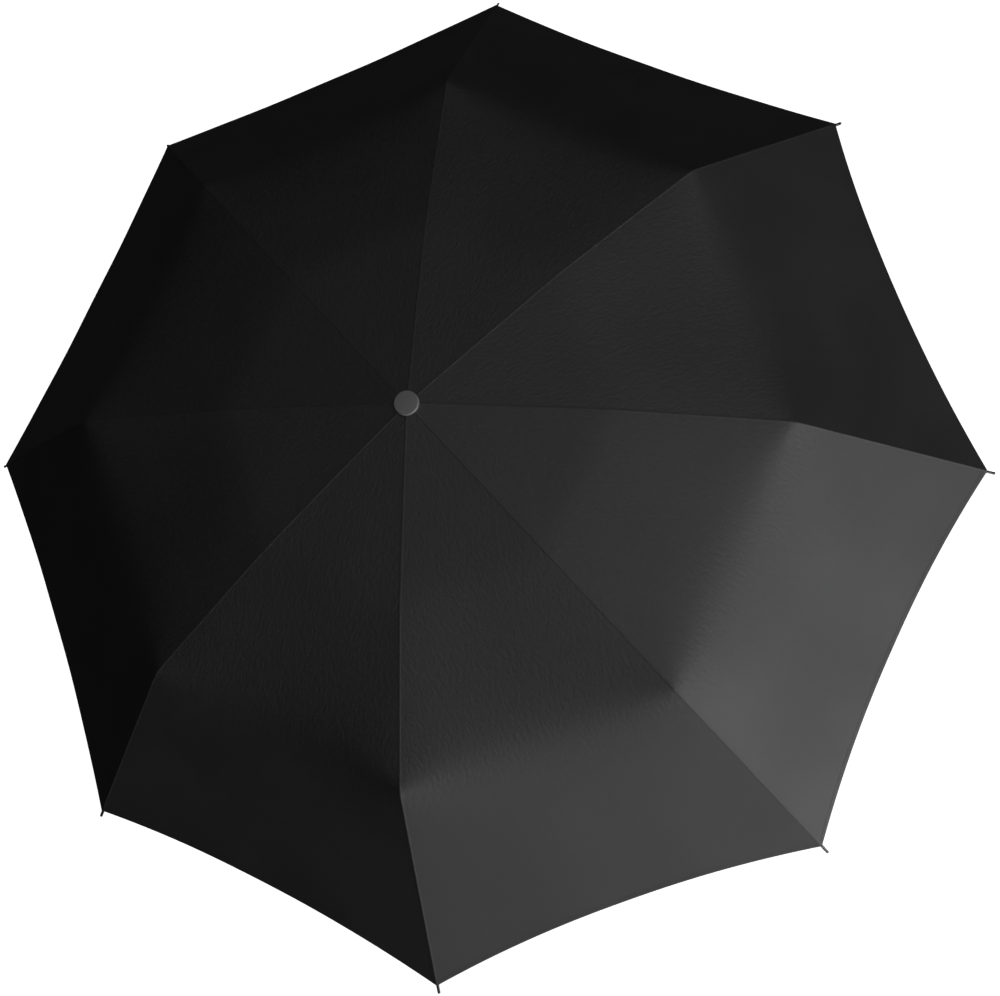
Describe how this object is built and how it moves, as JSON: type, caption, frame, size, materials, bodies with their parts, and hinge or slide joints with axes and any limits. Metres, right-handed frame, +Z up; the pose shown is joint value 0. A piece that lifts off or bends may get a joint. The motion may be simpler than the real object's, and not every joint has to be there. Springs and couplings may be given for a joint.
{
  "type": "folding umbrella",
  "caption": "Open pocket umbrella: a black sewn cover over a folding rib frame on a telescopic shaft, with a runner, a release button and a straight handle.",
  "frame": {"origin": "middle of the handle's grip, on the shaft's axis", "axes": "+Z up the shaft towards the cap, +X along the first rib"},
  "size_m": [0.9734, 0.9734, 0.5686],
  "materials": {
    "cover_fabric": "fine woven",
    "rib_metal": "satin",
    "shaft_metal": "satin",
    "spring_steel": "bright",
    "cap_metal": "satin",
    "black_plastic": "matte",
    "grey_plastic": "gloss",
    "grip_rubber": "soft touch"
  },
  "bodies": {
    "handle": {"handle_grip": "grip_rubber", "handle_core": "black_plastic", "handle_end_cap": "black_plastic", "handle_ring": "grey_plastic", "handle_pin": "spring_steel", "bottom_tube": "shaft_metal", "lower_catch": "spring_steel"},
    "middle_shaft": {"middle_tube": "shaft_metal", "middle_ferrule": "black_plastic", "upper_catch": "spring_steel"},
    "top_shaft": {"top_tube": "shaft_metal", "top_ferrule": "black_plastic", "crown": "black_plastic", "crown_wire": "spring_steel", "top_washer": "black_plastic", "cap": "cap_metal", "gore_1": "cover_fabric", "gore_2": "cover_fabric", "gore_3": "cover_fabric", "gore_4": "cover_fabric", "gore_5": "cover_fabric", "gore_6": "cover_fabric", "gore_7": "cover_fabric", "gore_8": "cover_fabric"},
    "runner": {"runner": "black_plastic", "latch_spring": "spring_steel"},
    "release_button": {"release_button": "grey_plastic"},
    "inner_1": {"inner_rib_1": "rib_metal"},
    "inner_2": {"inner_rib_2": "rib_metal"},
    "inner_3": {"inner_rib_3": "rib_metal"},
    "inner_4": {"inner_rib_4": "rib_metal"},
    "inner_5": {"inner_rib_5": "rib_metal"},
    "inner_6": {"inner_rib_6": "rib_metal"},
    "inner_7": {"inner_rib_7": "rib_metal"},
    "inner_8": {"inner_rib_8": "rib_metal"},
    "stretcher_1": {"stretcher_1": "rib_metal"},
    "stretcher_2": {"stretcher_2": "rib_metal"},
    "stretcher_3": {"stretcher_3": "rib_metal"},
    "stretcher_4": {"stretcher_4": "rib_metal"},
    "stretcher_5": {"stretcher_5": "rib_metal"},
    "stretcher_6": {"stretcher_6": "rib_metal"},
    "stretcher_7": {"stretcher_7": "rib_metal"},
    "stretcher_8": {"stretcher_8": "rib_metal"},
    "mid_1": {"mid_rib_1": "rib_metal"},
    "mid_2": {"mid_rib_2": "rib_metal"},
    "mid_3": {"mid_rib_3": "rib_metal"},
    "mid_4": {"mid_rib_4": "rib_metal"},
    "mid_5": {"mid_rib_5": "rib_metal"},
    "mid_6": {"mid_rib_6": "rib_metal"},
    "mid_7": {"mid_rib_7": "rib_metal"},
    "mid_8": {"mid_rib_8": "rib_metal"},
    "outer_1": {"outer_rib_1": "rib_metal"},
    "outer_2": {"outer_rib_2": "rib_metal"},
    "outer_3": {"outer_rib_3": "rib_metal"},
    "outer_4": {"outer_rib_4": "rib_metal"},
    "outer_5": {"outer_rib_5": "rib_metal"},
    "outer_6": {"outer_rib_6": "rib_metal"},
    "outer_7": {"outer_rib_7": "rib_metal"},
    "outer_8": {"outer_rib_8": "rib_metal"}
  },
  "joints": [
    {"name": "middle_slide", "type": "slide", "parent": "handle", "child": "middle_shaft", "axis": [0, 0, 1], "range_m": [-0.119, 0], "deforming": ["lower_catch"]},
    {"name": "top_slide", "type": "slide", "parent": "middle_shaft", "child": "top_shaft", "axis": [0, 0, 1], "range_m": [-0.143, 0], "deforming": ["upper_catch"]},
    {"name": "runner_slide", "type": "slide", "parent": "top_shaft", "child": "runner", "axis": [0, 0, -1], "range_m": [0, 0.10573], "deforming": ["gore_1", "gore_2", "gore_3", "gore_4", "gore_5", "gore_6", "gore_7", "gore_8", "latch_spring"]},
    {"name": "button_press", "type": "slide", "parent": "runner", "child": "release_button", "axis": [-0.9239, -0.3827, 0], "range_m": [0, 0.0014], "stiffness_N_per_m": 400},
    {"name": "inner_hinge_1", "type": "hinge", "parent": "top_shaft", "child": "inner_1", "pos_m": [0.0105, 0, 0.521], "axis": [0, 1, 0], "range_deg": [0, 82.5]},
    {"name": "inner_hinge_2", "type": "hinge", "parent": "top_shaft", "child": "inner_2", "pos_m": [0.00743, 0.00743, 0.521], "axis": [-0.7071, 0.7071, 0], "range_deg": [0, 82.5]},
    {"name": "inner_hinge_3", "type": "hinge", "parent": "top_shaft", "child": "inner_3", "pos_m": [0, 0.0105, 0.521], "axis": [-1, 0, 0], "range_deg": [0, 82.5]},
    {"name": "inner_hinge_4", "type": "hinge", "parent": "top_shaft", "child": "inner_4", "pos_m": [-0.00743, 0.00743, 0.521], "axis": [-0.7071, -0.7071, 0], "range_deg": [0, 82.5]},
    {"name": "inner_hinge_5", "type": "hinge", "parent": "top_shaft", "child": "inner_5", "pos_m": [-0.0105, 0, 0.521], "axis": [0, -1, 0], "range_deg": [0, 82.5]},
    {"name": "inner_hinge_6", "type": "hinge", "parent": "top_shaft", "child": "inner_6", "pos_m": [-0.00743, -0.00743, 0.521], "axis": [0.7071, -0.7071, 0], "range_deg": [0, 82.5]},
    {"name": "inner_hinge_7", "type": "hinge", "parent": "top_shaft", "child": "inner_7", "pos_m": [0, -0.0105, 0.521], "axis": [1, 0, 0], "range_deg": [0, 82.5]},
    {"name": "inner_hinge_8", "type": "hinge", "parent": "top_shaft", "child": "inner_8", "pos_m": [0.00743, -0.00743, 0.521], "axis": [0.7071, 0.7071, 0], "range_deg": [0, 82.5]},
    {"name": "stretcher_hinge_1", "type": "hinge", "parent": "inner_1", "child": "stretcher_1", "pos_m": [0.08981, 0, 0.51054], "axis": [0, 1, 0], "range_deg": [-131.55, 0]},
    {"name": "stretcher_hinge_2", "type": "hinge", "parent": "inner_2", "child": "stretcher_2", "pos_m": [0.06351, 0.06351, 0.51054], "axis": [-0.7071, 0.7071, 0], "range_deg": [-131.55, 0]},
    {"name": "stretcher_hinge_3", "type": "hinge", "parent": "inner_3", "child": "stretcher_3", "pos_m": [0, 0.08981, 0.51054], "axis": [-1, 0, 0], "range_deg": [-131.55, 0]},
    {"name": "stretcher_hinge_4", "type": "hinge", "parent": "inner_4", "child": "stretcher_4", "pos_m": [-0.06351, 0.06351, 0.51054], "axis": [-0.7071, -0.7071, 0], "range_deg": [-131.55, 0]},
    {"name": "stretcher_hinge_5", "type": "hinge", "parent": "inner_5", "child": "stretcher_5", "pos_m": [-0.08981, 0, 0.51054], "axis": [0, -1, 0], "range_deg": [-131.55, 0]},
    {"name": "stretcher_hinge_6", "type": "hinge", "parent": "inner_6", "child": "stretcher_6", "pos_m": [-0.06351, -0.06351, 0.51054], "axis": [0.7071, -0.7071, 0], "range_deg": [-131.55, 0]},
    {"name": "stretcher_hinge_7", "type": "hinge", "parent": "inner_7", "child": "stretcher_7", "pos_m": [0, -0.08981, 0.51054], "axis": [1, 0, 0], "range_deg": [-131.55, 0]},
    {"name": "stretcher_hinge_8", "type": "hinge", "parent": "inner_8", "child": "stretcher_8", "pos_m": [0.06351, -0.06351, 0.51054], "axis": [0.7071, 0.7071, 0], "range_deg": [-131.55, 0]},
    {"name": "mid_hinge_1", "type": "hinge", "parent": "inner_1", "child": "mid_1", "pos_m": [0.17, 0, 0.5045], "axis": [0, 1, 0], "range_deg": [-185.56, 0]},
    {"name": "mid_hinge_2", "type": "hinge", "parent": "inner_2", "child": "mid_2", "pos_m": [0.12021, 0.12021, 0.5045], "axis": [-0.7071, 0.7071, 0], "range_deg": [-185.56, 0]},
    {"name": "mid_hinge_3", "type": "hinge", "parent": "inner_3", "child": "mid_3", "pos_m": [0, 0.17, 0.5045], "axis": [-1, 0, 0], "range_deg": [-185.56, 0]},
    {"name": "mid_hinge_4", "type": "hinge", "parent": "inner_4", "child": "mid_4", "pos_m": [-0.12021, 0.12021, 0.5045], "axis": [-0.7071, -0.7071, 0], "range_deg": [-185.56, 0]},
    {"name": "mid_hinge_5", "type": "hinge", "parent": "inner_5", "child": "mid_5", "pos_m": [-0.17, 0, 0.5045], "axis": [0, -1, 0], "range_deg": [-185.56, 0]},
    {"name": "mid_hinge_6", "type": "hinge", "parent": "inner_6", "child": "mid_6", "pos_m": [-0.12021, -0.12021, 0.5045], "axis": [0.7071, -0.7071, 0], "range_deg": [-185.56, 0]},
    {"name": "mid_hinge_7", "type": "hinge", "parent": "inner_7", "child": "mid_7", "pos_m": [0, -0.17, 0.5045], "axis": [1, 0, 0], "range_deg": [-185.56, 0]},
    {"name": "mid_hinge_8", "type": "hinge", "parent": "inner_8", "child": "mid_8", "pos_m": [0.12021, -0.12021, 0.5045], "axis": [0.7071, 0.7071, 0], "range_deg": [-185.56, 0]},
    {"name": "outer_hinge_1", "type": "hinge", "parent": "mid_1", "child": "outer_1", "pos_m": [0.316, 0, 0.466], "axis": [0, 1, 0], "range_deg": [0, 144.36]},
    {"name": "outer_hinge_2", "type": "hinge", "parent": "mid_2", "child": "outer_2", "pos_m": [0.22345, 0.22345, 0.466], "axis": [-0.7071, 0.7071, 0], "range_deg": [0, 144.36]},
    {"name": "outer_hinge_3", "type": "hinge", "parent": "mid_3", "child": "outer_3", "pos_m": [0, 0.316, 0.466], "axis": [-1, 0, 0], "range_deg": [0, 144.36]},
    {"name": "outer_hinge_4", "type": "hinge", "parent": "mid_4", "child": "outer_4", "pos_m": [-0.22345, 0.22345, 0.466], "axis": [-0.7071, -0.7071, 0], "range_deg": [0, 144.36]},
    {"name": "outer_hinge_5", "type": "hinge", "parent": "mid_5", "child": "outer_5", "pos_m": [-0.316, 0, 0.466], "axis": [0, -1, 0], "range_deg": [0, 144.36]},
    {"name": "outer_hinge_6", "type": "hinge", "parent": "mid_6", "child": "outer_6", "pos_m": [-0.22345, -0.22345, 0.466], "axis": [0.7071, -0.7071, 0], "range_deg": [0, 144.36]},
    {"name": "outer_hinge_7", "type": "hinge", "parent": "mid_7", "child": "outer_7", "pos_m": [0, -0.316, 0.466], "axis": [1, 0, 0], "range_deg": [0, 144.36]},
    {"name": "outer_hinge_8", "type": "hinge", "parent": "mid_8", "child": "outer_8", "pos_m": [0.22345, -0.22345, 0.466], "axis": [0.7071, 0.7071, 0], "range_deg": [0, 144.36]}
  ],
  "couplings": [
    {"joint": "inner_hinge_1", "follows": "runner_slide", "rad_per_m": 13.616},
    {"joint": "inner_hinge_2", "follows": "runner_slide", "rad_per_m": 13.616},
    {"joint": "inner_hinge_3", "follows": "runner_slide", "rad_per_m": 13.616},
    {"joint": "inner_hinge_4", "follows": "runner_slide", "rad_per_m": 13.616},
    {"joint": "inner_hinge_5", "follows": "runner_slide", "rad_per_m": 13.616},
    {"joint": "inner_hinge_6", "follows": "runner_slide", "rad_per_m": 13.616},
    {"joint": "inner_hinge_7", "follows": "runner_slide", "rad_per_m": 13.616},
    {"joint": "inner_hinge_8", "follows": "runner_slide", "rad_per_m": 13.616},
    {"joint": "stretcher_hinge_1", "follows": "runner_slide", "rad_per_m": -21.714},
    {"joint": "stretcher_hinge_2", "follows": "runner_slide", "rad_per_m": -21.714},
    {"joint": "stretcher_hinge_3", "follows": "runner_slide", "rad_per_m": -21.714},
    {"joint": "stretcher_hinge_4", "follows": "runner_slide", "rad_per_m": -21.714},
    {"joint": "stretcher_hinge_5", "follows": "runner_slide", "rad_per_m": -21.714},
    {"joint": "stretcher_hinge_6", "follows": "runner_slide", "rad_per_m": -21.714},
    {"joint": "stretcher_hinge_7", "follows": "runner_slide", "rad_per_m": -21.714},
    {"joint": "stretcher_hinge_8", "follows": "runner_slide", "rad_per_m": -21.714},
    {"joint": "mid_hinge_1", "follows": "runner_slide", "rad_per_m": -30.629},
    {"joint": "mid_hinge_2", "follows": "runner_slide", "rad_per_m": -30.629},
    {"joint": "mid_hinge_3", "follows": "runner_slide", "rad_per_m": -30.629},
    {"joint": "mid_hinge_4", "follows": "runner_slide", "rad_per_m": -30.629},
    {"joint": "mid_hinge_5", "follows": "runner_slide", "rad_per_m": -30.629},
    {"joint": "mid_hinge_6", "follows": "runner_slide", "rad_per_m": -30.629},
    {"joint": "mid_hinge_7", "follows": "runner_slide", "rad_per_m": -30.629},
    {"joint": "mid_hinge_8", "follows": "runner_slide", "rad_per_m": -30.629},
    {"joint": "outer_hinge_1", "follows": "runner_slide", "rad_per_m": 23.828},
    {"joint": "outer_hinge_2", "follows": "runner_slide", "rad_per_m": 23.828},
    {"joint": "outer_hinge_3", "follows": "runner_slide", "rad_per_m": 23.828},
    {"joint": "outer_hinge_4", "follows": "runner_slide", "rad_per_m": 23.828},
    {"joint": "outer_hinge_5", "follows": "runner_slide", "rad_per_m": 23.828},
    {"joint": "outer_hinge_6", "follows": "runner_slide", "rad_per_m": 23.828},
    {"joint": "outer_hinge_7", "follows": "runner_slide", "rad_per_m": 23.828},
    {"joint": "outer_hinge_8", "follows": "runner_slide", "rad_per_m": 23.828}
  ]
}
